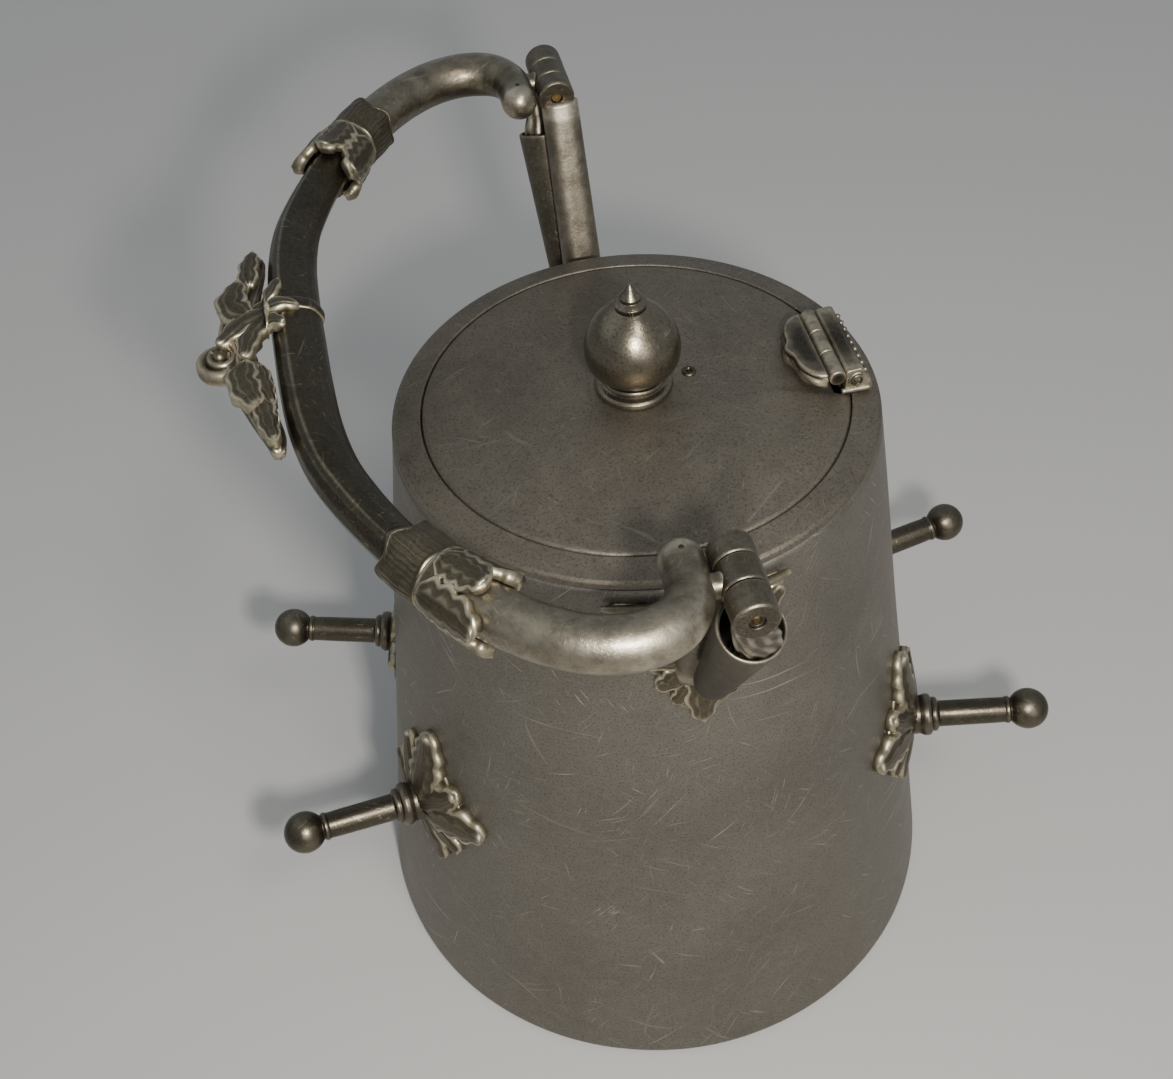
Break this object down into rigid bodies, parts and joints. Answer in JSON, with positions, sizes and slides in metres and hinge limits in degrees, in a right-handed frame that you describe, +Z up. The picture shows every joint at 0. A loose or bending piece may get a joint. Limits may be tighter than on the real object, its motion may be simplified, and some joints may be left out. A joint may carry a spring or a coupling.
{
  "type": "lidded pewter serving can",
  "caption": "Lidded tapered pewter serving can: hinged lid with acorn knob, swing handle, ball-ended pegs, cast leaf mounts.",
  "frame": {"origin": "centre of the base, where it stands", "axes": "+Z up along the body axis, +X towards the lid hinge, the handle's pivot line along Y"},
  "size_m": [0.2366, 0.2342, 0.2412],
  "materials": {
    "rolled_pewter": "satin",
    "cast_pewter": "satin",
    "cast_pewter_relief": "satin",
    "turned_pewter": "satin",
    "brass_pin": "satin"
  },
  "bodies": {
    "can": {"base_disc": "rolled_pewter", "body_wall": "rolled_pewter", "lid_hinge_pin": "brass_pin", "peg_back_left": "turned_pewter", "peg_back_right": "turned_pewter", "peg_front_left": "turned_pewter", "peg_front_right": "turned_pewter", "peg_leaf_back_left": "cast_pewter_relief", "peg_leaf_back_right": "cast_pewter_relief", "peg_leaf_front_left": "cast_pewter_relief", "peg_leaf_front_right": "cast_pewter_relief", "pivot_pin_back": "brass_pin", "pivot_pin_front": "brass_pin", "post_arm_back": "cast_pewter", "post_arm_front": "cast_pewter", "post_leaf_back": "cast_pewter_relief", "post_leaf_front": "cast_pewter_relief", "rim_hinge_leaf": "cast_pewter", "shoulder_ring": "rolled_pewter", "socket_tube_back": "cast_pewter", "socket_tube_front": "cast_pewter"},
    "lid": {"knob_bulb": "turned_pewter", "knob_finial": "turned_pewter", "knob_foot": "turned_pewter", "lid_disc": "rolled_pewter", "lid_hinge_shield": "cast_pewter", "vent_eyelet": "turned_pewter"},
    "handle": {"cuff_back": "cast_pewter_relief", "cuff_front": "cast_pewter_relief", "cuff_leaf_back": "cast_pewter_relief", "cuff_leaf_front": "cast_pewter_relief", "grip_band": "cast_pewter_relief", "grip_scroll": "cast_pewter_relief", "handle_end_back": "cast_pewter", "handle_end_front": "cast_pewter", "handle_grip": "cast_pewter"}
  },
  "joints": [
    {"name": "lid_hinge", "type": "hinge", "parent": "can", "child": "lid", "pos_m": [0.0516, 0, 0.2012], "axis": [0, 1, 0], "range_deg": [0, 100]},
    {"name": "handle_swing", "type": "hinge", "parent": "can", "child": "handle", "pos_m": [0, 0, 0.2323], "axis": [0, 1, 0], "range_deg": [0, 110]}
  ]
}
